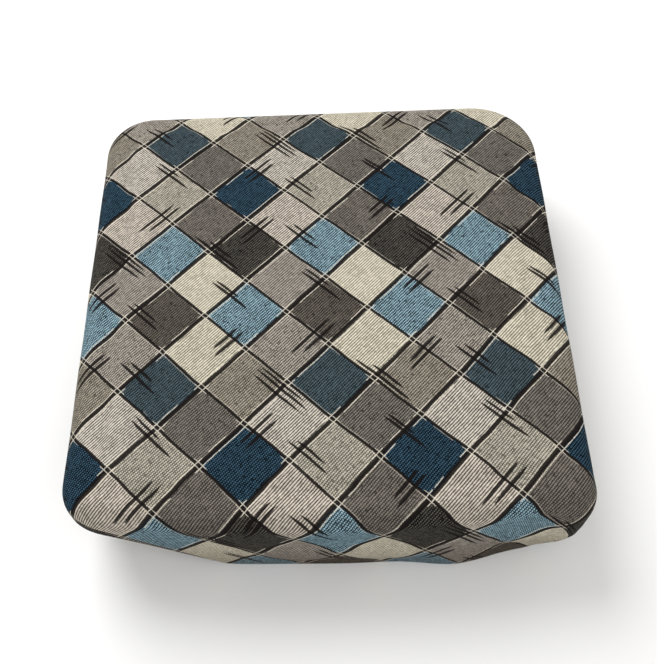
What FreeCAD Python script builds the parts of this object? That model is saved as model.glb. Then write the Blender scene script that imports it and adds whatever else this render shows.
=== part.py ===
"""Upholstered chair seat pad, a parametric FreeCAD document in millimetres.

The pad lies flat with +Z up and -Y to the front. Its origin is the centre of its
underside. From the bottom up it is a dust cover, the turned-under edge of the fabric
cover, a plywood seat board with tee nuts, a firm foam core, a softer foam topper, and
a wadding wrap under the cover. Every layer follows one plan outline, inset by what
lies outside it, so layers touch face to face. One oblique plane on each side undercuts
the lower front corner of every layer, moved in by that layer's own inset.
"""
import FreeCAD, Part
import math
import os
import Sketcher

SIZES = (
    ("back_width", 421, "width of the cover at the back edge, before the corners are rounded"),
    ("front_width", 399, "width of the cover at the front corners, before they are rounded"),
    ("pad_depth", 428, "depth from the back edge to the middle of the bowed front"),
    ("pad_height", 100, "height from the dust cover to the top of the cover"),
    ("front_bow", 15, "how far the middle of the front stands ahead of its corners"),
    ("back_corner", 60, "plan radius of the back corners"),
    ("front_corner", 38, "plan radius of the front corners"),
    ("relief_start", 78, "distance from the middle at which each front undercut begins"),
    ("relief_rise", 0.8, "climb of the undercut's edge for each millimetre towards the side"),
    ("relief_fall", 1.2, "fall of the undercut for each millimetre inward from the front"),
    ("top_roundover", 18, "radius of the cover's top edge"),
    ("cover_thickness", 1.2, "woven upholstery fabric"),
    ("cover_return", 36, "width of fabric turned under, from the outside of the wall"),
    ("wadding_thickness", 5, "polyester wadding"),
    ("topper_thickness", 20, "soft foam topper"),
    ("board_thickness", 12, "plywood seat board"),
    ("dust_cover_thickness", 0.7, "nonwoven dust cover"),
    ("dust_cover_inset", 14, "distance from the wall to the edge of the dust cover"),
    ("bolt_spacing_across", 240, "tee nut to tee nut across the pad"),
    ("bolt_spacing_deep", 200, "tee nut to tee nut from front to back"),
    ("thread_bore", 5, "diameter of the M6 thread's minor bore"),
    ("barrel_diameter", 8, "outside of the tee nut's barrel"),
    ("barrel_length", 9, "length of the tee nut's barrel below its flange"),
    ("flange_diameter", 19, "outside of the tee nut's flange"),
    ("flange_thickness", 1.2, "thickness of the tee nut's flange"),
    ("prong_radius", 7.6, "distance of the prongs from the tee nut's axis"),
    ("prong_width", 2.6, "width of a prong"),
    ("prong_thickness", 1.0, "thickness of a prong"),
    ("prong_length", 6, "depth that a prong bites into the board"),
    ("bolt_clearance", 14, "diameter of the dust cover's hole below each tee nut"),
    ("bolt_tip_diameter", 8, "diameter of the relief in the foam above each tee nut"),
    ("bolt_tip_depth", 12, "depth of the relief in the foam above the board"),
    ("vent_diameter", 20, "air hole in the seat board"),
    ("vent_spacing", 75, "distance of the outer air holes from the middle, each way"),
    ("staple_crown", 10, "width of a staple across its legs"),
    ("staple_wire", 0.7, "thickness of the staple's wire"),
    ("staple_wire_width", 0.95, "width of the staple's flat wire"),
    ("cover_staple_leg", 8, "height of the staples that hold the cover"),
    ("dust_staple_leg", 6, "height of the staples that hold the dust cover"),
    ("cover_staple_inset", 21, "distance of the cover's staples from the wall"),
    ("dust_staple_inset", 31, "distance of the dust cover's staples from the wall"),
    ("cover_staple_pitch", 34, "spacing of the cover's staples"),
    ("dust_staple_pitch", 68, "spacing of the dust cover's staples"),
)

# Heights and insets as expressions of the sheet's cells.
RETURN_BOTTOM = "Sizes.dust_cover_thickness"
BOARD_BOTTOM = "(Sizes.dust_cover_thickness + Sizes.cover_thickness)"
BOARD_TOP = f"({BOARD_BOTTOM} + Sizes.board_thickness)"
COVER_TOP = "Sizes.pad_height"
WADDING_TOP = f"({COVER_TOP} - Sizes.cover_thickness)"
TOPPER_TOP = f"({WADDING_TOP} - Sizes.wadding_thickness)"
TOPPER_BOTTOM = f"({TOPPER_TOP} - Sizes.topper_thickness)"
GROUND = "0"
NO_INSET = "0"
WADDING_INSET = "Sizes.cover_thickness"
FILLING_INSET = "(Sizes.cover_thickness + Sizes.wadding_thickness)"

doc = FreeCAD.newDocument("seat_pad")


# ---- the sheet of driving dimensions ----

def fill_sheet():
    sheet = doc.addObject("Spreadsheet::Sheet", "Sizes")
    for row, (alias, value, meaning) in enumerate(SIZES, start=1):
        sheet.set(f"A{row}", alias)
        sheet.set(f"B{row}", str(value))
        sheet.set(f"C{row}", meaning)
        sheet.setAlias(f"B{row}", alias)
    doc.recompute()
    return sheet


sizes = fill_sheet()


# ---- shared ways of building ----

def new_body(name):
    body = doc.addObject("PartDesign::Body", name)
    body.Label = name
    return body


def new_sketch(body, name, role, lift=GROUND):
    """A sketch on one of the body's own origin planes, raised along that plane's normal."""
    plane = next(f for f in body.Origin.OriginFeatures if f.Role == role)
    sketch = body.newObject("Sketcher::SketchObject", name)
    sketch.AttachmentSupport = [(plane, "")]
    sketch.MapMode = "FlatFace"
    sketch.setExpression("AttachmentOffset.Base.z", lift)
    return sketch


def bind(sketch, name, expression, *constraint):
    """Adds a named dimension to a sketch and binds it to the sheet."""
    index = sketch.addConstraint(Sketcher.Constraint(*constraint))
    sketch.renameConstraint(index, name)
    sketch.setExpression(f"Constraints.{name}", expression)


def draw_outline(sketch, inset):
    """The pad's plan: straight back and sides and a front bowed on one arc."""
    half_back = sizes.back_width / 2
    half_front = sizes.front_width / 2
    half_depth = sizes.pad_depth / 2
    bow_radius = (half_front ** 2 + sizes.front_bow ** 2) / (2 * sizes.front_bow)
    centre_y = bow_radius - half_depth
    front_y = -half_depth + sizes.front_bow
    spread = math.asin(half_front / bow_radius)
    back_right = FreeCAD.Vector(half_back, half_depth)
    back_left = FreeCAD.Vector(-half_back, half_depth)
    front_right = FreeCAD.Vector(half_front, front_y)
    front_left = FreeCAD.Vector(-half_front, front_y)
    circle = Part.Circle(FreeCAD.Vector(0, centre_y), FreeCAD.Vector(0, 0, 1), bow_radius)

    back = sketch.addGeometry(Part.LineSegment(back_left, back_right))
    right = sketch.addGeometry(Part.LineSegment(back_right, front_right))
    left = sketch.addGeometry(Part.LineSegment(front_left, back_left))
    front = sketch.addGeometry(
        Part.ArcOfCircle(circle, -math.pi / 2 - spread, -math.pi / 2 + spread))
    start, end, centre = 1, 2, 3
    for first, second in (((back, end), (right, start)), ((right, end), (front, end)),
                          ((front, start), (left, start)), ((left, end), (back, start))):
        sketch.addConstraint(Sketcher.Constraint("Coincident", *first, *second))
    sketch.addConstraint(Sketcher.Constraint("Symmetric", back, start, back, end, -2))
    sketch.addConstraint(Sketcher.Constraint("PointOnObject", front, centre, -2))
    bow = "((Sizes.front_width / 2) ^ 2 + Sizes.front_bow ^ 2) / (2 * Sizes.front_bow)"
    half_front_inset = f"Sizes.front_width / 2 - {inset}"
    bind(sketch, "BowRadius", f"{bow} - {inset}", "Radius", front, bow_radius)
    bind(sketch, "BowCentre", f"{bow} - Sizes.pad_depth / 2", "DistanceY", -1, 1, front, centre,
         centre_y)
    bind(sketch, "FrontLeft", half_front_inset, "DistanceX", front, start, -1, 1, half_front)
    bind(sketch, "FrontRight", half_front_inset, "DistanceX", -1, 1, front, end, half_front)
    bind(sketch, "HalfBack", f"Sizes.back_width / 2 - {inset}", "DistanceX", -1, 1, back, end,
         half_back)
    bind(sketch, "BackEdge", f"Sizes.pad_depth / 2 - {inset}", "DistanceY", -1, 1, back, end,
         half_depth)


def edges_named(shape, wanted):
    return [f"Edge{i}" for i, edge in enumerate(shape.Edges, start=1) if wanted(edge)]


def is_upright(edge):
    return edge.BoundBox.ZLength > 0.5 and edge.BoundBox.DiagonalLength - edge.BoundBox.ZLength < 1e-3


def round_edges(body, base, name, wanted, radius):
    doc.recompute()
    fillet = body.newObject("PartDesign::Fillet", name)
    fillet.Base = (base, edges_named(base.Shape, wanted))
    fillet.setExpression("Radius", radius)
    return fillet


def make_layer(name, inset, bottom, top, rounded_top=False):
    """A slab with the pad's outline, inset and between two heights."""
    body = new_body(name)
    sketch = new_sketch(body, name + "_outline", "XY_Plane", bottom)
    draw_outline(sketch, inset)
    pad = body.newObject("PartDesign::Pad", name + "_slab")
    pad.Profile = sketch
    pad.setExpression("Length", f"{top} - {bottom}")
    back = round_edges(body, pad, name + "_back_corners",
                       lambda e: is_upright(e) and e.CenterOfMass.y > 0,
                       f"Sizes.back_corner - {inset}")
    last = round_edges(body, back, name + "_front_corners",
                       lambda e: is_upright(e) and e.CenterOfMass.y < -sizes.pad_depth / 3,
                       f"Sizes.front_corner - {inset}")
    if rounded_top:
        doc.recompute()
        height = last.Shape.BoundBox.ZMax
        last = round_edges(body, last, name + "_roundover",
                           lambda e: e.BoundBox.ZMin > height - 1e-3,
                           f"Sizes.top_roundover - {inset}")
    body.Tip = last
    doc.recompute()
    return body


def add_circles(sketch, spots, name, diameter):
    """Circles of one diameter; each spot is a pair of expressions for x and y."""
    first = None
    for number, (x, y) in enumerate(spots, start=1):
        guess = FreeCAD.Vector(evaluated(x), evaluated(y))
        circle = sketch.addGeometry(Part.Circle(guess, FreeCAD.Vector(0, 0, 1), 5))
        for axis, place in (("X", x), ("Y", y)):
            value = evaluated(place)
            label = f"{name}{number}{axis}"
            if value == 0:
                axis_line = -2 if axis == "X" else -1
                sketch.addConstraint(Sketcher.Constraint("PointOnObject", circle, 3, axis_line))
            elif value > 0:
                bind(sketch, label, place, f"Distance{axis}", -1, 1, circle, 3, value)
            else:
                bind(sketch, label, f"-({place})", f"Distance{axis}", circle, 3, -1, 1, -value)
        if first is None:
            first = circle
            bind(sketch, f"{name}Diameter", diameter, "Diameter", circle, 10)
        else:
            sketch.addConstraint(Sketcher.Constraint("Equal", first, circle))


def evaluated(expression):
    """The number that an expression of the sheet gives now."""
    value = sizes.evalExpression(expression.replace("Sizes.", ""))
    return float(getattr(value, "Value", value))


def drill_through(body, sketch, name):
    """Cuts a sketch's circles right through the body, both ways from the sketch."""
    doc.recompute()
    before = body.Shape.Volume
    pocket = body.newObject("PartDesign::Pocket", name)
    pocket.Profile = sketch
    pocket.Type = "ThroughAll"
    pocket.Midplane = True
    body.Tip = pocket
    doc.recompute()
    if body.Shape.Volume > before - 1:
        raise RuntimeError(name + " cut nothing")
    return pocket


def subtract(name, base, *tools):
    """The base with every tool taken out of it, as nested Part cuts."""
    for step, tool in enumerate(tools, start=1):
        cut = doc.addObject("Part::Cut", name if step == len(tools) else f"{name}_less_{tool.Name}")
        cut.Base = base
        cut.Tool = tool
        base = cut
    base.Label = name
    doc.recompute()
    return base


def corner_spots(across, deep):
    """The four corners of a rectangle centred on the origin."""
    return [(f"{sx}{across} / 2", f"{sy}{deep} / 2") for sx in ("-", "") for sy in ("-", "")]


def relief_wedge(name, inset, side):
    """A block on the outer side of the plane that undercuts one lower front corner.

    The plane's height is zero on the front line at relief_start, climbs by relief_rise for
    each millimetre towards the side, and falls by relief_fall for each millimetre inward.
    The inset moves it square to itself.
    """
    block = doc.addObject("Part::Box", name)
    for length in ("Length", "Width", "Height"):
        block.setExpression(length, "2 * Sizes.pad_depth")
    outward = FreeCAD.Vector(side * sizes.relief_rise, -sizes.relief_fall, -1).normalize()
    turn = FreeCAD.Rotation(FreeCAD.Vector(0, 0, 1), outward)
    start = FreeCAD.Vector(side * sizes.relief_start, -sizes.pad_depth / 2, 0)
    corner = turn.multVec(FreeCAD.Vector(-sizes.pad_depth, -sizes.pad_depth, 0))
    block.Placement = FreeCAD.Placement(start - outward * evaluated(inset) + corner, turn)
    return block


def relieve(body, inset, name=None):
    """The layer with both of its lower front corners undercut."""
    left = relief_wedge(body.Name + "_left_wedge", inset, -1)
    right = relief_wedge(body.Name + "_right_wedge", inset, 1)
    return subtract(name or body.Name + "_relieved", body, left, right)


TEE_NUT_SPOTS = corner_spots("Sizes.bolt_spacing_across", "Sizes.bolt_spacing_deep")


def make_group(name, single, placements):
    """Copies of one piece, as a compound of separate solids."""
    group = doc.addObject("Part::Feature", name)
    solids = []
    for placement in placements:
        copy = single.Shape.copy()
        copy.Placement = placement.multiply(copy.Placement)
        solids.append(copy)
    group.Shape = Part.Compound(solids)
    group.Label = name
    return group


# ---- fasteners ----

def draw_closed(sketch, corners):
    """A closed polygon of straight lines, joined corner to corner."""
    lines = [sketch.addGeometry(Part.LineSegment(a, b))
             for a, b in zip(corners, corners[1:] + corners[:1])]
    for line, following in zip(lines, lines[1:] + lines[:1]):
        sketch.addConstraint(Sketcher.Constraint("Coincident", line, 2, following, 1))
    for line, (a, b) in zip(lines, zip(corners, corners[1:] + corners[:1])):
        kind = "Horizontal" if abs(a.y - b.y) < 1e-6 else "Vertical"
        sketch.addConstraint(Sketcher.Constraint(kind, line))
    return lines


def make_tee_nut():
    """One M6 tee nut: a barrel below a flange that has four prongs. z = 0 is under the flange."""
    body = new_body("tee_nut")
    profile = new_sketch(body, "tee_nut_profile", "XZ_Plane")
    bore = sizes.thread_bore / 2
    barrel = sizes.barrel_diameter / 2
    flange = sizes.flange_diameter / 2
    foot = -sizes.barrel_length
    lip = sizes.flange_thickness
    corners = [FreeCAD.Vector(x, y) for x, y in (
        (bore, foot), (barrel, foot), (barrel, 0), (flange, 0), (flange, lip), (bore, lip))]
    lines = draw_closed(profile, corners)
    bind(profile, "Bore", "Sizes.thread_bore / 2", "DistanceX", -1, 1, lines[0], 1, bore)
    bind(profile, "Barrel", "Sizes.barrel_diameter / 2", "DistanceX", -1, 1, lines[0], 2, barrel)
    bind(profile, "Foot", "Sizes.barrel_length", "DistanceY", lines[0], 1, -1, 1, -foot)
    profile.addConstraint(Sketcher.Constraint("PointOnObject", lines[2], 1, -1))
    bind(profile, "Flange", "Sizes.flange_diameter / 2", "DistanceX", -1, 1, lines[2], 2, flange)
    bind(profile, "Lip", "Sizes.flange_thickness", "DistanceY", -1, 1, lines[3], 2, lip)
    turned = body.newObject("PartDesign::Revolution", "tee_nut_turned")
    turned.Profile = profile
    turned.ReferenceAxis = (profile, ["V_Axis"])
    turned.Angle = 360
    body.Tip = turned
    doc.recompute()

    prong_sketch = new_sketch(body, "prong_outline", "XY_Plane")
    middle = sizes.prong_radius
    half_wide = sizes.prong_width / 2
    half_thick = sizes.prong_thickness / 2
    corners = [FreeCAD.Vector(x, y) for x, y in (
        (middle - half_thick, -half_wide), (middle + half_thick, -half_wide),
        (middle + half_thick, half_wide), (middle - half_thick, half_wide))]
    sides = draw_closed(prong_sketch, corners)
    bind(prong_sketch, "Inner", "Sizes.prong_radius - Sizes.prong_thickness / 2", "DistanceX",
         -1, 1, sides[0], 1, middle - half_thick)
    bind(prong_sketch, "Thickness", "Sizes.prong_thickness", "DistanceX", sides[0], 1,
         sides[0], 2, 2 * half_thick)
    bind(prong_sketch, "Low", "Sizes.prong_width / 2", "DistanceY", sides[0], 1, -1, 1, half_wide)
    bind(prong_sketch, "Width", "Sizes.prong_width", "DistanceY", sides[1], 1, sides[1], 2,
         2 * half_wide)
    prong = body.newObject("PartDesign::Pad", "prong")
    prong.Profile = prong_sketch
    prong.Reversed = True
    prong.setExpression("Length", "Sizes.prong_length")
    body.Tip = prong
    doc.recompute()
    ring = body.newObject("PartDesign::PolarPattern", "prongs")
    ring.Originals = [prong]
    ring.Axis = (prong_sketch, ["N_Axis"])
    ring.Angle = 360
    ring.Occurrences = 4
    body.Tip = ring
    doc.recompute()
    return body


def make_staple(name, leg):
    """One staple standing on its crown: the crown along X, its underside at z = 0, legs up."""
    body = new_body(name)
    sketch = new_sketch(body, name + "_profile", "XZ_Plane")
    half = sizes.staple_crown / 2
    wire = sizes.staple_wire
    tall = evaluated(leg)
    corners = [FreeCAD.Vector(x, y) for x, y in (
        (-half, 0), (half, 0), (half, tall), (half - wire, tall), (half - wire, wire),
        (-half + wire, wire), (-half + wire, tall), (-half, tall))]
    lines = draw_closed(sketch, corners)
    crown, right_leg, right_tip, right_inner, inner_crown, left_inner, left_tip, left_leg = lines
    sketch.addConstraint(Sketcher.Constraint("Symmetric", crown, 1, crown, 2, -1, 1))
    bind(sketch, "Crown", "Sizes.staple_crown", "DistanceX", crown, 1, crown, 2, 2 * half)
    bind(sketch, "Leg", leg, "DistanceY", right_leg, 1, right_leg, 2, tall)
    sketch.addConstraint(Sketcher.Constraint("Equal", right_tip, left_tip))
    sketch.addConstraint(Sketcher.Constraint("Equal", right_leg, left_leg))
    bind(sketch, "RightWire", "Sizes.staple_wire", "DistanceX", right_tip, 2, right_tip, 1, wire)
    bind(sketch, "CrownWire", "Sizes.staple_wire", "DistanceY", crown, 2, inner_crown, 1, wire)
    pad = body.newObject("PartDesign::Pad", name + "_wire")
    pad.Profile = sketch
    pad.Midplane = True
    pad.setExpression("Length", "Sizes.staple_wire_width")
    body.Tip = pad
    doc.recompute()
    return body


def staple_places(name, inset, pitch, height):
    """Places evenly spaced round the underside's outline, each crown along the edge."""
    guide = relieve(make_layer(name, inset, GROUND, "1"), inset)
    floor = min(guide.Shape.Faces, key=lambda face: face.CenterOfMass.z)
    wire = floor.OuterWire
    count = round(wire.Length / pitch)
    points = wire.discretize(Number=count + 1)[:-1]
    places = []
    for index, point in enumerate(points):
        along = points[(index + 1) % count] - points[index - 1]
        heading = math.degrees(math.atan2(along.y, along.x))
        places.append(FreeCAD.Placement(
            FreeCAD.Vector(point.x, point.y, height),
            FreeCAD.Rotation(FreeCAD.Vector(0, 0, 1), heading)))
    return places


tee_nut = make_tee_nut()
t_nuts = make_group("t_nuts", tee_nut, [
    FreeCAD.Placement(FreeCAD.Vector(evaluated(x), evaluated(y), evaluated(BOARD_TOP)),
                      FreeCAD.Rotation()) for x, y in TEE_NUT_SPOTS])

cover_staple = make_staple("cover_staple", "Sizes.cover_staple_leg")
cover_staples = make_group("cover_staples", cover_staple, staple_places(
    "cover_staple_line", "Sizes.cover_staple_inset", sizes.cover_staple_pitch, evaluated(RETURN_BOTTOM)))

dust_cover_staple = make_staple("dust_cover_staple", "Sizes.dust_staple_leg")
dust_cover_staples = make_group("dust_cover_staples", dust_cover_staple, staple_places(
    "dust_staple_line", "Sizes.dust_staple_inset", sizes.dust_staple_pitch, 0))


# ---- seat board ----

def make_seat_board():
    body = make_layer("board_blank", FILLING_INSET, BOARD_BOTTOM, BOARD_TOP)
    nut_holes = new_sketch(body, "tee_nut_holes", "XY_Plane", BOARD_BOTTOM)
    add_circles(nut_holes, TEE_NUT_SPOTS, "Nut", "Sizes.barrel_diameter")
    drill_through(body, nut_holes, "tee_nut_drilling")
    vents = new_sketch(body, "air_holes", "XY_Plane", BOARD_BOTTOM)
    reach = "2 * Sizes.vent_spacing"
    add_circles(vents, [("0 * Sizes.vent_spacing", "0 * Sizes.vent_spacing")]
                + corner_spots(reach, reach), "Vent", "Sizes.vent_diameter")
    drill_through(body, vents, "air_hole_drilling")
    return subtract("seat_board", relieve(body, FILLING_INSET), t_nuts, cover_staples,
                    dust_cover_staples)


seat_board = make_seat_board()


# ---- filling ----

def make_foam_core():
    """Firm foam, dented by the tee nuts' flanges and relieved above their threads."""
    body = make_layer("foam_core_blank", FILLING_INSET, BOARD_TOP, TOPPER_BOTTOM)
    relief = new_sketch(body, "bolt_tip_reliefs", "XY_Plane", BOARD_TOP)
    add_circles(relief, TEE_NUT_SPOTS, "Tip", "Sizes.bolt_tip_diameter")
    before = body.Shape.Volume
    pocket = body.newObject("PartDesign::Pocket", "bolt_tip_pockets")
    pocket.Profile = relief
    pocket.Reversed = True
    pocket.setExpression("Length", "Sizes.bolt_tip_depth")
    body.Tip = pocket
    doc.recompute()
    if body.Shape.Volume > before - 1:
        raise RuntimeError("the reliefs above the tee nuts cut nothing")
    return subtract("foam_core", relieve(body, FILLING_INSET), t_nuts)


foam_core = make_foam_core()
foam_topper = relieve(make_layer("foam_topper_blank", FILLING_INSET, TOPPER_BOTTOM, TOPPER_TOP,
                                 rounded_top=True), FILLING_INSET, "foam_topper")
wadding_outside = relieve(make_layer("wadding_outside", WADDING_INSET, BOARD_BOTTOM, WADDING_TOP,
                                     rounded_top=True), WADDING_INSET)
wadding_inside = relieve(make_layer("wadding_inside", FILLING_INSET, BOARD_BOTTOM, TOPPER_TOP,
                                    rounded_top=True), FILLING_INSET)
wadding = subtract("wadding", wadding_outside, wadding_inside)


# ---- cover and dust cover ----

cover_outside = relieve(make_layer("cover_outside", NO_INSET, RETURN_BOTTOM, COVER_TOP,
                                   rounded_top=True), NO_INSET)
cover_opening = relieve(make_layer("cover_opening", "Sizes.cover_return", RETURN_BOTTOM,
                                   BOARD_BOTTOM), "Sizes.cover_return")
cover = subtract("cover", cover_outside, wadding_outside, cover_opening, cover_staples,
                 dust_cover_staples)


def make_dust_cover():
    body = make_layer("dust_cover_blank", "Sizes.dust_cover_inset", GROUND, RETURN_BOTTOM)
    holes = new_sketch(body, "bolt_holes", "XY_Plane", GROUND)
    add_circles(holes, TEE_NUT_SPOTS, "Bolt", "Sizes.bolt_clearance")
    drill_through(body, holes, "bolt_hole_punching")
    return subtract("dust_cover", relieve(body, "Sizes.dust_cover_inset"), dust_cover_staples)


dust_cover = make_dust_cover()


# ---- checks and export ----

SUB_PARTS = (seat_board, t_nuts, foam_core, foam_topper, wadding, cover, cover_staples,
             dust_cover, dust_cover_staples)


def check_document():
    doc.recompute()
    for item in doc.Objects:
        bad = [state for state in item.State if state in ("Invalid", "Error")]
        if bad:
            raise RuntimeError(f"{item.Name} is {bad}")
    for part in SUB_PARTS:
        if part.Shape.isNull() or not part.Shape.isValid():
            raise RuntimeError(part.Label + " has no valid shape")


def export_parts():
    os.makedirs("parts", exist_ok=True)
    for part in SUB_PARTS:
        part.Shape.exportStep(f"parts/{part.Label}.step")
        print(f"{part.Label}: {len(part.Shape.Solids)} solids, {part.Shape.Volume / 1000:.2f} cm3")


check_document()
export_parts()
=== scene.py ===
"""The chair seat pad's looks: a bias-cut woven cover over foam, seen from above its front edge.

Lengths are metres in the pad's own frame: +Z up, -Y to the front, origin at the middle of the
underside. The cover is one flat piece of cloth wrapped over the filling, so every point of it
keeps its place on the flat cloth, and the woven pattern is worked out from that place.
"""
import math

import bpy
import numpy as np
from mathutils import Matrix, Vector


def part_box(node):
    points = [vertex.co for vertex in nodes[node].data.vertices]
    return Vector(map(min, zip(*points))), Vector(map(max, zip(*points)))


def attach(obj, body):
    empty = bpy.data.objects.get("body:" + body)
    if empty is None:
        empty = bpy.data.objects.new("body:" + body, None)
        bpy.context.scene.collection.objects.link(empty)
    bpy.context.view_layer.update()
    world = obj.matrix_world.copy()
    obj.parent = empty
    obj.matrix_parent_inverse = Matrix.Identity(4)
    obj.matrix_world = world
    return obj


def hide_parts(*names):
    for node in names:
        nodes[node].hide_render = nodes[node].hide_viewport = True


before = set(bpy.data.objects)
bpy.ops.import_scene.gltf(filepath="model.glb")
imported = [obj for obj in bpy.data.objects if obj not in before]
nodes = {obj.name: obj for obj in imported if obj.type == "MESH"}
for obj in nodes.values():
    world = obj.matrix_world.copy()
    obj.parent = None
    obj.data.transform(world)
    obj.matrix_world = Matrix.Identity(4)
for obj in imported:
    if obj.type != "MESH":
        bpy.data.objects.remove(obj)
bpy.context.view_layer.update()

MM = 0.001

# ---- the pad's ends and height, from the CAD frame ----
cover_low, cover_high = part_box("cover")
PAD_BACK = cover_high[1]
PAD_FRONT = cover_low[1]
PAD_TOP = cover_high[2]
WALL_FOOT = cover_low[2]

# ---- its plan outline and its rounded edges ----
HALF_BACK = 210.5 * MM
HALF_FRONT = 199.5 * MM
FRONT_BOW = 15 * MM
BACK_CORNER = {-1: 45 * MM, 1: 60 * MM}      # the left and the right one
FRONT_CORNER = {-1: 32 * MM, 1: 26 * MM}
ROUNDOVER = 18 * MM
FOOT_ROUND = 3 * MM
WALL = PAD_TOP - WALL_FOOT - ROUNDOVER - FOOT_ROUND
OUTLINE_SAMPLES = 3600
CORNER_STEPS = 120
BOW_STEPS = 40

# ---- the cloth's own sizes ----
CLOTH_THICK = 0.7 * MM
RETURN_WIDTH = 20 * MM                  # how much cloth is turned under the board
MITRE_LAP = 2 * MM                      # how far two turned-under parts may pass each other
GATHER_DEPTH = 1.2 * MM                 # depth of the gathers at the corners
GATHER_WAVES = (21, 34)                 # their waves in a whole turn round the pad
WALL_RIPPLE = 0.6 * MM                  # how uneven the walls are
RIPPLE_LENGTHS = (17 * MM, 14 * MM)     # that unevenness along X and Y, per radian of its wave
SPARE = 40 * MM                         # flat cloth past the turned-under edge, cut off later
REACH = (ROUNDOVER + FOOT_ROUND) * math.pi / 2 + WALL + RETURN_WIDTH + SPARE
GRID = 4.2 * MM                         # side of one face of the flat cloth

# ---- the cloth and its weave ----
CELL = 47.44 * MM                       # side of one square of the pattern
WEAVE_TURN = math.radians(1.67)         # how far the pattern is turned from 45 degrees
WEAVE_SKEW = math.radians(-0.71)        # the cloth's own skew between its two line directions
WEAVE_ORIGIN = Vector((2.5 * MM, 2.2 * MM))   # where the corner (5, 0) of the pattern lies
WEAVE_CORNER = (5.0, 0.0)

# The lower front corners are undercut by a plane, clear of the chair's front posts. For each
# side: where the undercut begins on the front line, and its climb per length towards the side.
UNDERCUT = {-1: (80 * MM, 0.8), 1: (148.5 * MM, 1.5)}
UNDERCUT_FALL = 1.2                     # its fall per length inward from the front
UNDERCUT_BLEND = 22 * MM                # the climb over which it takes its own direction
LEAST_WALL = 2 * MM                     # plain wall that is left above it
# Where the cover stands off the pad's plain wall at the front: middle, half width and amount,
# along X, and how far down from the top it takes to reach that amount.
FLARES = ((100 * MM, 34 * MM, 7 * MM, 99 * MM), (184 * MM, 18 * MM, 8.5 * MM, 27 * MM),
          (-196 * MM, 22 * MM, 3 * MM, 99 * MM))


def srgb(red, green, blue):
    """A colour given as display values from 0 to 255, in linear light with alpha."""
    def linear(value):
        value /= 255
        return value / 12.92 if value <= 0.04045 else ((value + 0.055) / 1.055) ** 2.4
    return (linear(red), linear(green), linear(blue), 1.0)


# ---- small node-building helpers ----

class Net:
    """Builds a material's nodes from short calls."""

    def __init__(self, name):
        self.material = bpy.data.materials.new(name)
        self.material.use_nodes = True
        self.nodes = self.material.node_tree.nodes
        self.links = self.material.node_tree.links
        self.shader = self.nodes["Principled BSDF"]

    def put(self, socket, value):
        if isinstance(value, bpy.types.NodeSocket):
            self.links.new(value, socket)
        elif value is not None:
            socket.default_value = value

    def math(self, operation, first, second=None, third=None):
        node = self.nodes.new("ShaderNodeMath")
        node.operation = operation
        for socket, value in zip(node.inputs, (first, second, third)):
            self.put(socket, value)
        return node.outputs[0]

    def step(self, value, low, high, start=0.0, end=1.0):
        """A smooth ramp from start to end as value goes from low to high."""
        node = self.nodes.new("ShaderNodeMapRange")
        node.interpolation_type = "SMOOTHSTEP"
        for socket, number in zip(node.inputs, (value, low, high, start, end)):
            self.put(socket, number)
        return node.outputs[0]

    def mix(self, factor, first, second):
        node = self.nodes.new("ShaderNodeMix")
        node.data_type = "RGBA"
        self.put(node.inputs["Factor"], factor)
        self.put(node.inputs[6], first)
        self.put(node.inputs[7], second)
        return node.outputs[2]

    def vector(self, x, y, z=0.0):
        node = self.nodes.new("ShaderNodeCombineXYZ")
        for socket, value in zip(node.inputs, (x, y, z)):
            self.put(socket, value)
        return node.outputs[0]

    def split(self, vector):
        node = self.nodes.new("ShaderNodeSeparateXYZ")
        self.put(node.inputs[0], vector)
        return node.outputs[:3]

    def noise(self, vector, scale, detail=2.0, roughness=0.5):
        node = self.nodes.new("ShaderNodeTexNoise")
        node.inputs["Scale"].default_value = scale
        node.inputs["Detail"].default_value = detail
        node.inputs["Roughness"].default_value = roughness
        self.put(node.inputs["Vector"], vector)
        return node.outputs["Fac"]

    def ramp(self, factor, colours):
        """Equal flat bands of colour."""
        node = self.nodes.new("ShaderNodeValToRGB")
        ramp = node.color_ramp
        ramp.interpolation = "CONSTANT"
        while len(ramp.elements) < len(colours):
            ramp.elements.new(1.0)
        for index, colour in enumerate(colours):
            ramp.elements[index].position = index / len(colours)
            ramp.elements[index].color = colour
        self.put(node.inputs[0], factor)
        return node.outputs[0]

    def bump(self, height, distance, strength=1.0, normal=None):
        node = self.nodes.new("ShaderNodeBump")
        node.inputs["Strength"].default_value = strength
        node.inputs["Distance"].default_value = distance
        self.put(node.inputs["Height"], height)
        self.put(node.inputs["Normal"], normal)
        return node.outputs[0]

    def position(self):
        return self.nodes.new("ShaderNodeTexCoord").outputs["Object"]

    def surface(self, colour, normal=None, roughness=0.8):
        self.put(self.shader.inputs["Base Color"], colour)
        self.put(self.shader.inputs["Normal"], normal)
        self.put(self.shader.inputs["Roughness"], roughness)
        return self.material


# ---- the cover's weave ----

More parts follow.
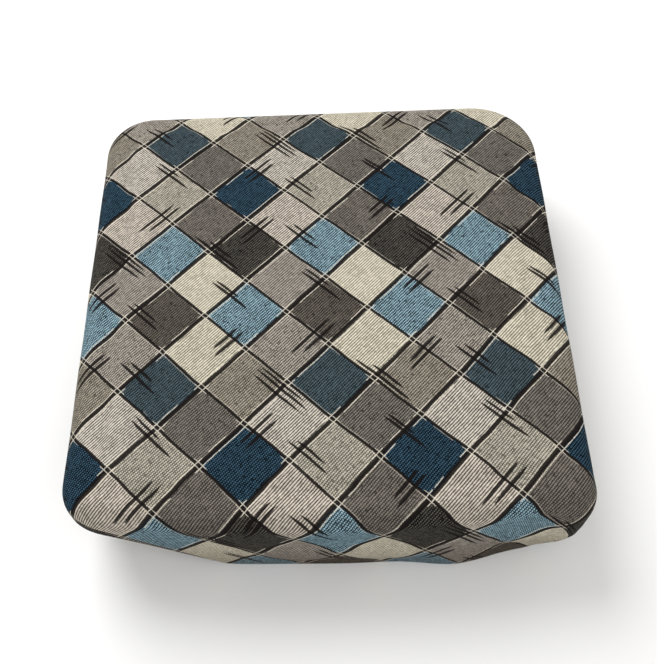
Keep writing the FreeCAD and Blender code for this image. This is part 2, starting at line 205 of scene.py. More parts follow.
# Each kind of cell: its colour, how far its dark and light yarns lie from that colour, and how
# far the floats of one rib stand apart as dots.
CELL_KINDS = {
    "slate": (srgb(64, 78, 84), 0.82, 0.75), "grey": (srgb(108, 103, 96), 0.78, 0.75),
    "navy": (srgb(41, 64, 79), 1.15, 0.95), "pale": (srgb(178, 169, 157), 0.80, 0.35),
    "sky": (srgb(122, 149, 160), 0.95, 0.85), "cream": (srgb(197, 190, 171), 0.55, 0.35),
    "dove": (srgb(150, 143, 133), 0.78, 0.70), "stone": (srgb(139, 132, 119), 0.76, 0.75),
    "silver": (srgb(176, 169, 158), 0.82, 0.35), "moss": (srgb(166, 160, 146), 0.72, 0.75),
    "ash": (srgb(108, 102, 95), 0.76, 0.70), "coal": (srgb(66, 63, 58), 1.15, 0.80),
    "smoke": (srgb(145, 138, 129), 0.70, 0.50), "umber": (srgb(88, 82, 75), 0.80, 0.75),
    "linen": (srgb(193, 186, 167), 0.62, 0.35),
}
SLUB_TONE = 1.6                         # how far the brightest slubs lie from a cell's colour
CLOTH_TONE = 0.79                       # the yarns' brightness under this light
# The order of the cells along a line, for even and odd rows of the pattern.
EVEN_ROW = ("slate", "grey", "navy", "pale", "sky", "cream", "sky", "dove")
ODD_ROW = ("stone", "silver", "moss", "ash", "coal", "smoke", "umber", "linen")
BLACK_YARN = srgb(22, 18, 17)
WHITE_YARN = srgb(216, 208, 192)
FOOT_SHADE_COLOUR = srgb(58, 44, 34)              # painted shade: the cloth is darkened towards its foot, where the wall lies in shade
# height over which the painted shade at the foot fades out
FOOT_SHADE_HEIGHT = 70 * MM
FOOT_UNSHADED_SHARE = 0.66                      # how much of the cloth's own colour is left at the foot under the painted shade

# In cells, down to THREAD_HALF. Pairs are for the pattern's two line directions.
RIB = 0.0425                            # from one rib to the next
FLOAT = 0.034                           # length of one float along a rib
BAND_HALF = (0.038, 0.024)              # half widths of the black bands
THREAD_OFF = (0.055, 0.037)             # the white threads' distance from the line
THREAD_HALF = (0.007, 0.006)            # half widths of the white threads
BREAK_SCALE = 2.1                       # noise that breaks the white threads into lengths
EVEN_LEVEL = 0.69                       # the floats' mean height, the same in every cell
YARN_WEIGHT = 1.2                       # the ribs' share in a cell's light and dark
RIB_DEPTH = 0.35 * MM
YARN_GLOSS = 0.06
YARN_ROUGHNESS = 0.92

# Short dark strokes, in cells of a repeat of four by four: along the first line direction as
# (start, end, place across, half width), and likewise along the second.
STROKE_REPEAT = 4.0
STROKE_WEIGHT = 1.40                    # the strokes' width against the list
STROKE_EDGE = (-0.004, 0.005)           # how soft a stroke's edge is, in cells
STROKE_COVER = 0.95
WANDER = 0.055                          # how far lines stray, in cells
WANDER_SCALE = 1.3
JAG = 0.014                             # how ragged their edges are, in cells
JAG_SCALE = 45.0
STROKES_ALONG = (
    (3.71, 4.31, 0.50, 0.018), (3.58, 4.52, 0.38, 0.019),
    (3.58, 4.17, 2.65, 0.018), (3.56, 4.46, 2.58, 0.021),
    (0.58, 1.21, 3.89, 0.016), (0.57, 1.58, 3.80, 0.020),
    (1.44, 2.45, 1.92, 0.016), (1.42, 2.60, 1.84, 0.018), (1.45, 2.52, 1.73, 0.018),
    (2.81, 3.50, 3.18, 0.020), (2.52, 3.75, 3.08, 0.021),
    (2.85, 3.46, 1.33, 0.017), (2.75, 3.62, 1.23, 0.018),
)
STROKES_ACROSS = (
    (3.60, 4.35, 3.24, 0.022), (3.50, 4.37, 3.35, 0.022),
    (2.43, 3.37, 1.65, 0.021), (2.56, 3.41, 1.79, 0.022),
    (1.62, 2.23, 0.60, 0.022), (1.52, 2.25, 0.73, 0.024),
    (0.69, 1.45, 2.21, 0.020), (0.66, 1.42, 2.35, 0.022),
)


def stroke_mask(net, along, across, strokes):
    """Where any of the strokes lies: thin bars that taper at both ends."""
    total = None
    half_repeat = STROKE_REPEAT / 2
    for start, end, place, half_width in strokes:
        middle = (start + end) / 2
        run = net.math("WRAP", net.math("SUBTRACT", along, middle), -half_repeat, half_repeat)
        side = net.math("WRAP", net.math("SUBTRACT", across, place), -half_repeat, half_repeat)
        reach = net.math("ABSOLUTE", net.math("DIVIDE", run, (end - start) / 2))
        width = net.math("MULTIPLY", net.math("SUBTRACT", 1.0, net.math("POWER", reach, 4.0)),
                         half_width * STROKE_WEIGHT)
        inside = net.math("SUBTRACT", width, net.math("ABSOLUTE", side))
        total = inside if total is None else net.math("MAXIMUM", total, inside)
    return net.step(total, *STROKE_EDGE)


def yarn_colour(kind, side):
    """One yarn of a kind of cell: side is -1 for its dark yarn, 1 or more for its light ones."""
    colour, spread, _ = CELL_KINDS[kind]
    share = max(0.03, 1 + side * spread)
    return tuple(c * CLOTH_TONE * share for c in colour[:3]) + (1.0,)


def band(net, offset, half_width, edge=0.004):
    """1 within half_width of zero."""
    return net.step(net.math("ABSOLUTE", offset), half_width + edge, half_width - edge)


def streaks(net, u, v, scale_u, scale_v, seed, detail, roughness=0.5):
    """Noise with its own scale across the ribs and along them."""
    place = net.vector(net.math("MULTIPLY", u, scale_u), net.math("MULTIPLY", v, scale_v), seed)
    return net.noise(place, 1.0, detail, roughness)


def wandering(net, flat, raw_u, raw_v):
    """The pattern's coordinates with its lines straying a little, so that none is ruled."""
    wander_u = net.math("MULTIPLY", net.math("SUBTRACT", net.noise(flat, WANDER_SCALE, 3.0), 0.5),
                        WANDER)
    wander_v = net.math("MULTIPLY", net.math("SUBTRACT", net.noise(
        net.vector(raw_v, raw_u, 7.0), WANDER_SCALE, 3.0), 0.5), WANDER)
    jag = net.math("MULTIPLY", net.math("SUBTRACT", net.noise(flat, JAG_SCALE, 0.0), 0.5), JAG)
    return (net.math("ADD", net.math("ADD", raw_u, wander_u), jag),
            net.math("ADD", net.math("ADD", raw_v, wander_v), jag))


def cell_yarns(net, u, v):
    """Each cell's dark, light and slub yarn colours, and how far its floats stand as dots."""
    count = float(len(EVEN_ROW))
    column = net.math("FLOOR", u)
    row = net.math("FLOOR", v)
    place = net.math("DIVIDE", net.math("ADD", net.math(
        "FLOORED_MODULO", net.math("SUBTRACT", column, row), count), 0.5), count)
    odd = net.math("GREATER_THAN", net.math("FLOORED_MODULO", row, 2.0), 0.5)

    def by_cell(value):
        return net.mix(odd, net.ramp(place, [value(kind) for kind in EVEN_ROW]),
                       net.ramp(place, [value(kind) for kind in ODD_ROW]))

    dark = by_cell(lambda kind: yarn_colour(kind, -1))
    light = by_cell(lambda kind: yarn_colour(kind, 1))
    slubs = by_cell(lambda kind: yarn_colour(kind, SLUB_TONE))
    dots = by_cell(lambda kind: (CELL_KINDS[kind][2],) * 3 + (1.0,))
    return dark, light, slubs, dots


def rib_weave(net, raw_u, raw_v, dots):
    """The ribs' height, 0 to about 1, and a random value for each float."""
    rib_place = net.math("DIVIDE", raw_u, RIB)
    rib_number = net.math("FLOOR", net.math("ADD", rib_place, 0.5))
    shift = net.math("MULTIPLY", net.math("FLOORED_MODULO", rib_number, 2.0), 0.5)
    float_place = net.math("ADD", net.math("DIVIDE", raw_v, FLOAT), shift)
    float_number = net.math("FLOOR", net.math("ADD", float_place, 0.5))
    rib, crown = (net.math("ADD", net.math("MULTIPLY", net.math("COSINE", net.math(
        "MULTIPLY", place, 2 * math.pi)), 0.5), 0.5) for place in (rib_place, float_place))
    dotted = net.math("SUBTRACT", 1.0, net.math("MULTIPLY", dots, net.math(
        "SUBTRACT", 1.0, crown)))
    evened = net.math("DIVIDE", EVEN_LEVEL, net.math("SUBTRACT", 1.0, net.math(
        "MULTIPLY", dots, 0.5)))
    yarn = net.math("MULTIPLY", rib, net.math("MULTIPLY", dotted, evened))
    chance = net.nodes.new("ShaderNodeTexWhiteNoise")
    chance.noise_dimensions = "2D"
    net.put(chance.inputs["Vector"], net.vector(rib_number, float_number))
    return yarn, chance.outputs["Value"]


def line_masks(net, u, v, raw_u, raw_v):
    """Where the black bands lie on the pattern's lines, and the white threads beside them."""
    off_u = net.math("WRAP", u, -0.5, 0.5)
    off_v = net.math("WRAP", v, -0.5, 0.5)
    black = net.math("MAXIMUM", band(net, off_u, BAND_HALF[0]), band(net, off_v, BAND_HALF[1]))
    white = None
    breaks = net.math("SUBTRACT", net.noise(net.vector(raw_u, raw_v, 5.0), BREAK_SCALE, 0.0), 0.5)
    for side in (-1, 1):
        run_u = net.math("MAXIMUM", net.step(net.math("ABSOLUTE", off_v), 0.14, 0.10),
                         net.step(net.math("MULTIPLY", breaks, float(side)), -0.05, -0.02))
        run_v = net.math("MAXIMUM", net.step(net.math("ABSOLUTE", off_u), 0.16, 0.12, 0.0, 0.8),
                         net.step(net.math("MULTIPLY", breaks, float(-side)),
                                  0.02, 0.06, 0.0, 0.4))
        thread_u = net.math("MULTIPLY", band(
            net, net.math("ADD", off_u, side * THREAD_OFF[0]), THREAD_HALF[0]), run_u)
        thread_v = net.math("MULTIPLY", band(
            net, net.math("ADD", off_v, side * THREAD_OFF[1]), THREAD_HALF[1]), run_v)
        both = net.math("MAXIMUM", thread_u, thread_v)
        white = both if white is None else net.math("MAXIMUM", white, both)
    return black, white


def painted_foot_shade(net, colour):
    """The colour, darkened towards the pad's foot by painted shade."""
    _, _, above_foot = net.split(net.position())
    unshaded = net.step(above_foot, 0.0, FOOT_SHADE_HEIGHT, FOOT_UNSHADED_SHARE, 1.0)
    return net.mix(unshaded, FOOT_SHADE_COLOUR, colour)


def weave_material():
    """The woven cover: cells of two yarns in ribs, then lines, threads, strokes and painted shade at
    the foot.
    """
    net = Net("woven_cover")
    uv = net.nodes.new("ShaderNodeUVMap")
    uv.uv_map = "cloth"
    flat = uv.outputs[0]
    raw_u, raw_v, _ = net.split(flat)
    u, v = wandering(net, flat, raw_u, raw_v)
    dark, light, slubs, dots = cell_yarns(net, u, v)
    yarn, chance = rib_weave(net, raw_u, raw_v, dots)

    fibre = streaks(net, raw_u, raw_v, 42.0, 24.0, 0.0, 3.0, 0.65)
    thick = streaks(net, raw_u, raw_v, 16.0, 6.0, 3.0, 2.0)
    cloudy = net.noise(flat, 2.2, 2.0)
    level = net.math("MULTIPLY", yarn, YARN_WEIGHT)
    for source, weight in ((chance, 0.30), (fibre, 0.40), (thick, 0.45), (cloudy, 0.25)):
        level = net.math("ADD", level, net.math("MULTIPLY", net.math("SUBTRACT", source, 0.5),
                                                weight))
    colour = net.mix(net.step(level, 0.02, 0.86), dark, light)

    # dark flecks where the cells have dots, and bright slubs along the ribs
    fleck = streaks(net, raw_u, raw_v, 13.0, 16.0, 11.0, 1.0)
    colour = net.mix(net.math("MULTIPLY", net.step(fleck, 0.62, 0.70, 0.0, 0.75),
                              net.step(dots, 0.3, 0.7)), colour, dark)
    bright = streaks(net, raw_u, raw_v, 21.0, 8.0, 19.0, 1.0)
    colour = net.mix(net.math("MULTIPLY", net.step(bright, 0.62, 0.72, 0.0, 0.8),
                              net.step(yarn, 0.1, 0.6)), colour, slubs)

    black, white = line_masks(net, u, v, raw_u, raw_v)
    strokes = net.math("MAXIMUM", stroke_mask(net, u, v, STROKES_ALONG),
                       stroke_mask(net, v, u, STROKES_ACROSS))
    nub = net.step(fibre, 0.3, 0.6, 0.45, 1.0)
    colour = net.mix(net.math("MULTIPLY", black, net.step(yarn, 0.0, 0.5, 0.88, 0.97)),
                     colour, BLACK_YARN)
    colour = net.mix(net.math("MULTIPLY", white, nub), colour, WHITE_YARN)
    colour = net.mix(net.math("MULTIPLY", strokes, STROKE_COVER), colour, BLACK_YARN)
    # painted shade: the cover darkens towards its foot
    colour = painted_foot_shade(net, colour)

    height = net.math("ADD", yarn, net.math("MULTIPLY", fibre, 0.6))
    normal = net.bump(height, RIB_DEPTH, 0.5)
    net.shader.inputs["Specular IOR Level"].default_value = YARN_GLOSS
    return net.surface(colour, normal, YARN_ROUGHNESS)


# ---- plain materials of the inner pieces ----

def foam_material(name, light, dark, pore):
    net = Net(name)
    place = net.position()
    cells = net.nodes.new("ShaderNodeTexVoronoi")
    cells.inputs["Scale"].default_value = pore
    net.put(cells.inputs["Vector"], place)
    holes = net.step(cells.outputs["Distance"], 0.15, 0.55)
    colour = net.mix(holes, dark, light)
    colour = net.mix(net.step(net.noise(place, 18.0), 0.3, 0.7, 0.0, 0.25), colour, dark)
    return net.surface(colour, net.bump(holes, 0.4 * MM, 0.6), 0.95)


def wadding_material():
    net = Net("polyester_wadding")
    place = net.position()
    stretched = net.nodes.new("ShaderNodeMapping")
    stretched.inputs["Scale"].default_value = (1.0, 0.35, 1.0)
    net.put(stretched.inputs[0], place)
    fibres = net.noise(stretched.outputs[0], 900.0, 4.0, 0.7)
    clumps = net.noise(place, 60.0, 3.0)
    colour = net.mix(net.step(fibres, 0.3, 0.7), srgb(214, 214, 208), srgb(250, 250, 246))
    colour = net.mix(net.step(clumps, 0.4, 0.7, 0.0, 0.3), colour, srgb(196, 196, 190))
    return net.surface(colour, net.bump(net.math("ADD", fibres, clumps), 0.8 * MM, 0.7), 1.0)


def plywood_material():
    net = Net("birch_plywood")
    place = net.position()
    _, _, height = net.split(place)
    grain = net.nodes.new("ShaderNodeTexWave")
    grain.bands_direction = "Y"
    grain.inputs["Scale"].default_value = 26.0
    grain.inputs["Distortion"].default_value = 7.0
    grain.inputs["Detail"].default_value = 4.0
    stretched = net.nodes.new("ShaderNodeMapping")
    stretched.inputs["Scale"].default_value = (0.12, 1.0, 1.0)
    net.put(stretched.inputs[0], place)
    net.put(grain.inputs["Vector"], stretched.outputs[0])
    pores = net.noise(stretched.outputs[0], 700.0, 3.0)
    colour = net.mix(grain.outputs["Fac"], srgb(214, 184, 138), srgb(190, 152, 104))
    colour = net.mix(net.step(pores, 0.55, 0.7, 0.0, 0.4), colour, srgb(142, 104, 66))
    layer = net.math("PINGPONG", height, 1.5 * MM)
    ply = net.step(layer, 0.55 * MM, 0.75 * MM, 0.0, 0.35)
    colour = net.mix(ply, colour, srgb(150, 112, 74))
    return net.surface(colour, net.bump(grain.outputs["Fac"], 0.1 * MM, 0.3), 0.6)


def steel_material(name, tone, roughness):
    net = Net(name)
    place = net.position()
    scratches = net.noise(place, 2600.0, 2.0)
    patches = net.noise(place, 160.0, 3.0)
    colour = net.mix(net.step(patches, 0.35, 0.7), tone, srgb(150, 148, 140))
    net.shader.inputs["Metallic"].default_value = 1.0
    normal = net.bump(scratches, 0.03 * MM, 0.3)
    return net.surface(colour, normal, net.step(scratches, 0.2, 0.8, roughness - 0.08,
                                                roughness + 0.1))


def dust_cover_material():
    net = Net("black_nonwoven")
    place = net.position()
    x, y, _ = net.split(place)
    pitch = 2 * math.pi / (1.6 * MM)
    dots = net.math("MULTIPLY", net.math("COSINE", net.math("MULTIPLY", x, pitch)),
                    net.math("COSINE", net.math("MULTIPLY", y, pitch)))
    bond = net.step(dots, 0.35, 0.7)
    fibres = net.noise(place, 1500.0, 4.0, 0.7)
    colour = net.mix(net.step(fibres, 0.3, 0.75), srgb(16, 16, 17), srgb(48, 48, 50))
    colour = net.mix(net.math("MULTIPLY", bond, 0.6), colour, srgb(12, 12, 13))
    height = net.math("SUBTRACT", fibres, bond)
    return net.surface(colour, net.bump(height, 0.15 * MM, 0.6), 0.85)


def assign(node, material):
    for slot in nodes[node].material_slots:
        slot.material = material


# ---- the wrapped cover ----

def half_outline(inset, side):
    """Half of the plan outline, inset, from the back's middle to the front's, drawn to the right."""
    half_depth = (PAD_BACK - PAD_FRONT) / 2
    bow_radius = (HALF_FRONT ** 2 + FRONT_BOW ** 2) / (2 * FRONT_BOW)
    bow_centre = PAD_FRONT + bow_radius
    back_right = Vector((HALF_BACK - inset, PAD_BACK - inset))
    reach = HALF_FRONT - inset
    spread = math.asin(reach / (bow_radius - inset))
    front_right = Vector((reach, bow_centre - (bow_radius - inset) * math.cos(spread)))
    bow_tangent = Vector((-math.cos(spread), -math.sin(spread)))
    back_arc = corner_arc(Vector((0, back_right.y)), back_right, front_right, BACK_CORNER[side] - inset)
    front_arc = corner_arc(back_right, front_right, front_right + bow_tangent * half_depth,
                           FRONT_CORNER[side] - inset)
    last = math.atan2(front_arc[-1].x, bow_centre - front_arc[-1].y)
    bow = [Vector(((bow_radius - inset) * math.sin(angle),
                   bow_centre - (bow_radius - inset) * math.cos(angle)))
           for angle in np.linspace(last, 0, BOW_STEPS + 1)[1:]]
    return [Vector((0, back_right.y))] + back_arc + front_arc + bow


def outline_points(inset):
    """The plan outline, inset, as evenly spaced points with their outward normals."""
    right_half = half_outline(inset, 1)
    left_half = [Vector((-p.x, p.y)) for p in reversed(half_outline(inset, -1))]
    loop = np.array([tuple(p) for p in right_half + left_half[1:]])
    run = np.concatenate([[0], np.cumsum(np.linalg.norm(np.diff(loop, axis=0), axis=1))])
    places = np.linspace(0, run[-1], OUTLINE_SAMPLES, endpoint=False)
    points = np.column_stack([np.interp(places, run, loop[:, k]) for k in (0, 1)])
    tangent = np.roll(points, -1, 0) - np.roll(points, 1, 0)
    tangent /= np.linalg.norm(tangent, axis=1)[:, None]
    normal = np.column_stack([-tangent[:, 1], tangent[:, 0]])
    return points, normal


def corner_arc(before, corner, after, radius):
    """Points of the arc that rounds a corner between two straight runs."""
    first = (before - corner).normalized()
    second = (after - corner).normalized()
    half_angle = math.acos(max(-1, min(1, first.dot(second)))) / 2
    length = radius / math.tan(half_angle)
    centre = corner + (first + second).normalized() * (radius / math.sin(half_angle))
    start = corner + first * length - centre
    turn = -(math.pi - 2 * half_angle)
    return [centre + Matrix.Rotation(turn * k / CORNER_STEPS, 2) @ start
            for k in range(CORNER_STEPS + 1)]


def nearest_on_outline(flat, points):
    """For each flat point, the index of the nearest outline point."""
    at_once = 2000
    found = np.empty(len(flat), int)
    for start in range(0, len(flat), at_once):
        part = flat[start:start + at_once]
        gaps = ((part[:, None, :] - points[None, :, :]) ** 2).sum(2)
        found[start:start + at_once] = gaps.argmin(1)
    return found


def smooth(value, low, high):
    """0 at low, 1 at high, with a soft start and end."""
    t = np.clip((value - low) / (high - low), 0, 1)
    return t * t * (3 - 2 * t)


def undercut_at(place, out):
    """The undercut's height on the wall at each plan point, its way inward and its slope."""
    side = np.where(place[:, 0] < 0, -1, 1)
    start = np.where(side < 0, UNDERCUT[-1][0], UNDERCUT[1][0])
    rise = np.where(side < 0, UNDERCUT[-1][1], UNDERCUT[1][1])
    height = rise * (side * place[:, 0] - start) - UNDERCUT_FALL * (place[:, 1] - PAD_FRONT)
    height = np.clip(height - WALL_FOOT, 0, WALL - LEAST_WALL)
    slope = np.hypot(rise, UNDERCUT_FALL)
    way = np.column_stack([-side * rise, np.full(len(side), UNDERCUT_FALL)]) / slope[:, None]
    share = smooth(height, 0, UNDERCUT_BLEND)[:, None]
    way = way * share - out * (1 - share)
    way /= np.linalg.norm(way, axis=1)[:, None]
    return height, way, slope


def wrap(flat):
    """Places flat cloth points on the pad: over the top, round the edge, down and under.

    The cloth turns in twice at the foot: first onto the undercut, where there is one, and
    then onto the underside. Elsewhere the two turns join into one.
    """
    points, normal = outline_points(ROUNDOVER)
    near = nearest_on_outline(flat, points)
    base = points[near]
    out = normal[near]
    beyond = ((flat - base) * out).sum(1)
    beyond = np.where(np.abs(beyond) > 0, np.sign(beyond), 1) * np.linalg.norm(flat - base, axis=1)
    climb, way, slope = undercut_at(base + out * ROUNDOVER, out)
    first_turn = np.arctan(1 / slope)
    facet = climb / np.cos(first_turn)
    top_turn = ROUNDOVER * math.pi / 2

    angle = np.clip(beyond / ROUNDOVER, 0, math.pi / 2)
    offset = ROUNDOVER * np.sin(angle)
    drop = ROUNDOVER * (1 - np.cos(angle))
    left = beyond - top_turn
    drop = drop + np.clip(left, 0, WALL - climb)
    left = left - (WALL - climb)
    turn = np.clip(left / FOOT_ROUND, 0, first_turn)
    inward = FOOT_ROUND * (1 - np.cos(turn))
    drop = drop + FOOT_ROUND * np.sin(turn)
    left = left - FOOT_ROUND * first_turn
    sloping = np.clip(left, 0, facet)
    inward = inward + sloping * np.sin(first_turn)
    drop = drop + sloping * np.cos(first_turn)
    left = left - facet
    turn = np.clip(left / FOOT_ROUND, 0, math.pi / 2 - first_turn) + first_turn
    inward = inward + FOOT_ROUND * (np.cos(first_turn) - np.cos(turn))
    drop = drop + FOOT_ROUND * (np.sin(turn) - np.sin(first_turn))
    left = left - FOOT_ROUND * (math.pi / 2 - first_turn)
    inward = inward + np.clip(left, 0, None)
    stand = stand_off(base + out * ROUNDOVER, out, drop)
    shaped = base + out * (offset + stand)[:, None] + way * inward[:, None]
    place = np.where((beyond > 0)[:, None], shaped, flat)
    return np.column_stack([place, PAD_TOP - drop]), left, stand


def stand_off(wall, out, drop):
    """How far the cover stands off the pad's plain wall: flares, corner gathers and ripple."""
    front = smooth(-out[:, 1], 0.05, 0.5)
    total = np.zeros(len(wall))
    for middle, half_width, amount, descent in FLARES:
        depth = smooth(drop, 0, descent)
        total += amount * np.exp(-((wall[:, 0] - middle) / half_width) ** 2) * depth * front
    cornered = np.clip(np.abs(out[:, 0] * out[:, 1]) * 2, 0, 1) ** 2
    heading = np.arctan2(out[:, 1], out[:, 0])
    gather = (0.8 + 0.5 * np.sin(heading * GATHER_WAVES[0])
              + 0.3 * np.sin(heading * GATHER_WAVES[1] + 1.3))
    low = smooth(drop, ROUNDOVER, PAD_TOP - WALL_FOOT)
    ripple = (0.9 + 0.5 * np.sin(wall[:, 0] / RIPPLE_LENGTHS[0])
              + 0.4 * np.sin(wall[:, 1] / RIPPLE_LENGTHS[1] + 1.0))
    edge = smooth(drop, 0, ROUNDOVER)
    return total + GATHER_DEPTH * gather * cornered * low + WALL_RIPPLE * ripple * edge


def true_inset(place):
    """How far each plan point lies inside the underside's outline, undercuts included."""
    points, normal = outline_points(0.0)
    near = nearest_on_outline(place, points)
    inside = ((points[near] - place) * normal[near]).sum(1)
    for side, (start, rise) in UNDERCUT.items():
        height = rise * (side * place[:, 0] - start) - UNDERCUT_FALL * (place[:, 1] - PAD_FRONT)
        inside = np.minimum(inside, (WALL_FOOT - height) / math.hypot(rise, UNDERCUT_FALL))
    return inside


def weave_place(flat):
    """The pattern's own coordinates, in cells, of flat cloth points."""
    along = -math.pi / 4 + WEAVE_TURN
    across = math.pi / 4 + WEAVE_TURN + WEAVE_SKEW
    basis = np.array([[math.cos(along), math.cos(across)],
                      [math.sin(along), math.sin(across)]]) * CELL
    local = (flat - np.array(WEAVE_ORIGIN)) @ np.linalg.inv(basis).T
    return local + np.array(WEAVE_CORNER)


def cover_mesh():
    """The cloth as a flat square grid, wrapped over the pad and cut off where it turns under.

    Gives the mesh, the vertices held at the foot, and the cloth's flat area and size as cut.
    """
    half = (PAD_BACK - PAD_FRONT) / 2 + REACH
    count = int(2 * half / GRID) + 1
    line = np.arange(count) * GRID - (count - 1) * GRID / 2
    grid_x, grid_y = np.meshgrid(line, line)
    flat = np.column_stack([grid_x.ravel(), grid_y.ravel()])
    place, past_foot, stand = wrap(flat)
    travel = past_foot - stand
    kept = travel < RETURN_WIDTH
    turned = np.nonzero(kept & (past_foot > 0))[0]
    room = true_inset(place[turned, :2]) + MITRE_LAP
    kept[turned] = travel[turned] + FOOT_ROUND < room

    kept = kept.reshape(count, count)
    square = kept[:-1, :-1] & kept[:-1, 1:] & kept[1:, 1:] & kept[1:, :-1]
    rows, columns = np.nonzero(square)
    first = rows * count + columns
    corners = np.column_stack([first, first + 1, first + count + 1, first + count])
    # where the cloth would lie upside down on the underside, it is cut away
    plan = place[corners]
    upward = np.cross(plan[:, 2] - plan[:, 0], plan[:, 3] - plan[:, 1])[:, 2] > 0
    corners = corners[~(upward & (past_foot[corners].min(1) > -FOOT_ROUND))]
    used, faces = np.unique(corners, return_inverse=True)
    faces = faces.reshape(-1, 4)

    mesh = bpy.data.meshes.new("woven_cover")
    mesh.from_pydata(place[used].tolist(), [], faces.tolist())
    weave = weave_place(flat[used])
    layer = mesh.uv_layers.new(name="cloth")
    index = np.empty(len(mesh.loops), int)
    mesh.loops.foreach_get("vertex_index", index)
    layer.data.foreach_set("uv", weave[index].ravel())
    mesh.polygons.foreach_set("use_smooth", [True] * len(mesh.polygons))
    cut = flat[used]
    held = np.nonzero(past_foot[used] > -FOOT_ROUND)[0]
    return mesh, held, len(faces) * GRID ** 2, cut.max(0) - cut.min(0)


# ---- the cloth's own shape, by simulation ----

SWELL_IN = 0.2 * MM                     # how far a point may sink below the plain shape
SWELL_OUT = 3.0 * MM                    # how far it may stand proud
SLIDE = 1.5 * MM                        # how far it may move along the surface
LAST_FRAME = 20
PRESSURE = 4


def coordinates(mesh, kind="co"):
    """Each vertex's place, or with "normal" its normal, one row each."""
    values = np.empty(len(mesh.vertices) * 3)
    mesh.vertices.foreach_get(kind, values)
    return values.reshape(-1, 3)


def settle(piece, held):
    """Lets the filling push the cloth out from its held edge, then keeps it near the pad."""
    scene = bpy.context.scene
    mesh = piece.data
    before = coordinates(mesh)
    normals = coordinates(mesh, "normal")
    group = piece.vertex_groups.new(name="held")
    group.add(held.tolist(), 1.0, "REPLACE")
    cloth = piece.modifiers.new("cloth", "CLOTH")
    cloth.settings.quality = 4
    cloth.settings.mass = 0.3
    cloth.settings.tension_stiffness = 12
    cloth.settings.compression_stiffness = 12
    cloth.settings.shear_stiffness = 5
    cloth.settings.bending_stiffness = 0.5
    cloth.settings.use_pressure = True
    cloth.settings.uniform_pressure_force = PRESSURE
    cloth.settings.vertex_group_mass = "held"
    cloth.settings.effector_weights.gravity = 0
    cloth.collision_settings.use_collision = False
    cloth.point_cache.frame_start = 1
    cloth.point_cache.frame_end = LAST_FRAME
    for step in range(1, LAST_FRAME + 1):
        scene.frame_set(step)
    settled = piece.evaluated_get(bpy.context.evaluated_depsgraph_get())
    after = coordinates(settled.to_mesh())
    settled.to_mesh_clear()
    piece.modifiers.remove(cloth)
    piece.vertex_groups.remove(group)
    scene.frame_set(1)
    moved = after - before
    swell = (moved * normals).sum(1)
    free = np.ones(len(before), bool)
    free[held] = False
    along = moved - normals * swell[:, None]
    length = np.linalg.norm(along, axis=1)
    along *= (np.minimum(length, SLIDE) / np.maximum(length, 1e-9))[:, None]
    usual = np.median(swell[free])
    swell = np.clip(swell - usual, -SWELL_IN, SWELL_OUT)
    shift = np.where(free[:, None], normals * swell[:, None] + along, 0)
    mesh.vertices.foreach_set("co", (before + shift).ravel())
    mesh.update()


# ---- the pieces ----

cover_shape, held_points, cloth_area, cloth_size = cover_mesh()
cover = bpy.data.objects.new("woven_cover", cover_shape)
bpy.context.scene.collection.objects.link(cover)
settle(cover, held_points)
cover.data.materials.append(weave_material())
smoother = cover.modifiers.new("smoother", "SUBSURF")
smoother.levels = smoother.render_levels = 1
thicken = cover.modifiers.new("thickness", "SOLIDIFY")
thicken.thickness = CLOTH_THICK
thicken.offset = -1
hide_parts("cover")
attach(cover, "root")

assign("wadding", wadding_material())
assign("foam_topper", foam_material("cream_foam", srgb(236, 226, 190), srgb(206, 192, 150), 700.0))
assign("foam_core", foam_material("blue_foam", srgb(190, 208, 218), srgb(150, 170, 182), 520.0))
assign("seat_board", plywood_material())
assign("t_nuts", steel_material("zinc_plated_steel", srgb(196, 192, 176), 0.35))
for group in ("cover_staples", "dust_cover_staples"):
    assign(group, steel_material(group + "_steel", srgb(190, 190, 188), 0.3))
assign("dust_cover", dust_cover_material())


# ---- floor, lights and camera ----

FLOOR_HALF = 6.0
FLOOR_DROP = 0.2 * MM                   # keeps the floor clear of the pad's underside
DAYLIGHT = 0.62                         # the surroundings' strength
# Each area light: place, the point it is aimed at, diameter and power.
LIGHTS = {
    "window": ((-0.9, 1.3, 1.9), (0, 0, 0.1), 1.6, 48),
    "fill": ((1.0, -1.2, 1.6), (0, 0, 0.05), 2.0, 11),
}


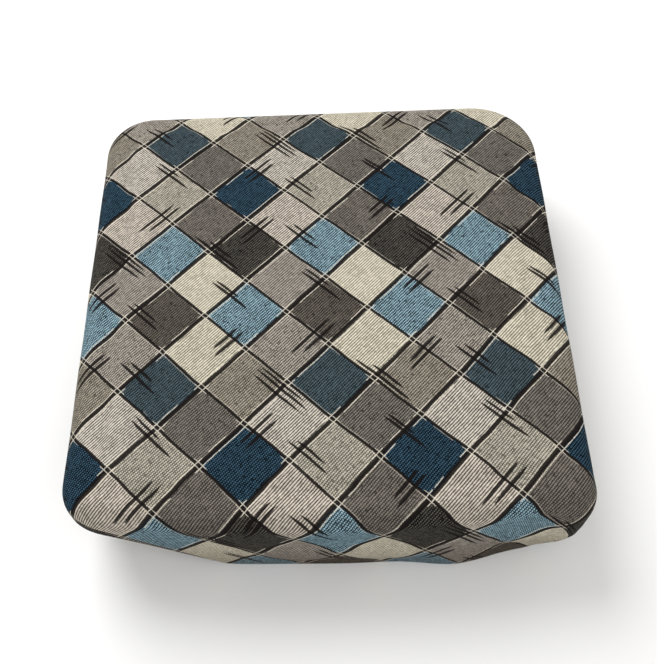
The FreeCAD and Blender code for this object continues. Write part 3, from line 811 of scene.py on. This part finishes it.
def make_floor():
    mesh = bpy.data.meshes.new("floor")
    half = FLOOR_HALF
    mesh.from_pydata([(-half, -half, 0), (half, -half, 0), (half, half, 0), (-half, half, 0)],
                     [], [(0, 1, 2, 3)])
    floor = bpy.data.objects.new("floor", mesh)
    bpy.context.scene.collection.objects.link(floor)
    net = Net("pale_floor")
    tone = net.mix(net.step(net.noise(net.position(), 3.0), 0.3, 0.7), srgb(240, 240, 240),
                   srgb(244, 244, 243))
    floor.data.materials.append(net.surface(tone, None, 0.9))
    floor.location.z = -FLOOR_DROP


def add_area_light(name, place, target, size, power):
    data = bpy.data.lights.new(name, "AREA")
    data.shape = "DISK"
    data.size = size
    data.energy = power
    lamp = bpy.data.objects.new(name, data)
    lamp.location = place
    aim = Vector(target) - Vector(place)
    lamp.rotation_euler = aim.to_track_quat("-Z", "Y").to_euler()
    bpy.context.scene.collection.objects.link(lamp)


def set_world(strength):
    world = bpy.data.worlds.new("soft_daylight")
    world.use_nodes = True
    background = world.node_tree.nodes["Background"]
    background.inputs["Color"].default_value = (1.0, 0.99, 0.975, 1.0)
    background.inputs["Strength"].default_value = strength
    bpy.context.scene.world = world


CAMERA_PLACE = Vector((13.2, -382.8, 637.8)) * MM
CAMERA_YAW = math.radians(-1.54)
CAMERA_DOWN = math.radians(58.36)
CAMERA_ROLL = math.radians(-3.24)
CAMERA_LENS = 41.83


def add_camera():
    data = bpy.data.cameras.new("camera")
    data.sensor_width = 36.0
    data.lens = CAMERA_LENS
    data.clip_start = 0.01
    camera = bpy.data.objects.new("camera", data)
    turn = (Matrix.Rotation(-CAMERA_YAW, 4, "Z")
            @ Matrix.Rotation(math.pi / 2 - CAMERA_DOWN, 4, "X")
            @ Matrix.Rotation(CAMERA_ROLL, 4, "Z"))
    camera.matrix_world = Matrix.Translation(CAMERA_PLACE) @ turn
    bpy.context.scene.collection.objects.link(camera)
    bpy.context.scene.camera = camera


make_floor()
set_world(DAYLIGHT)
for light_name, settings in LIGHTS.items():
    add_area_light(light_name, *settings)
add_camera()
bpy.context.scene.view_settings.view_transform = "Standard"
bpy.context.scene.view_settings.look = "None"
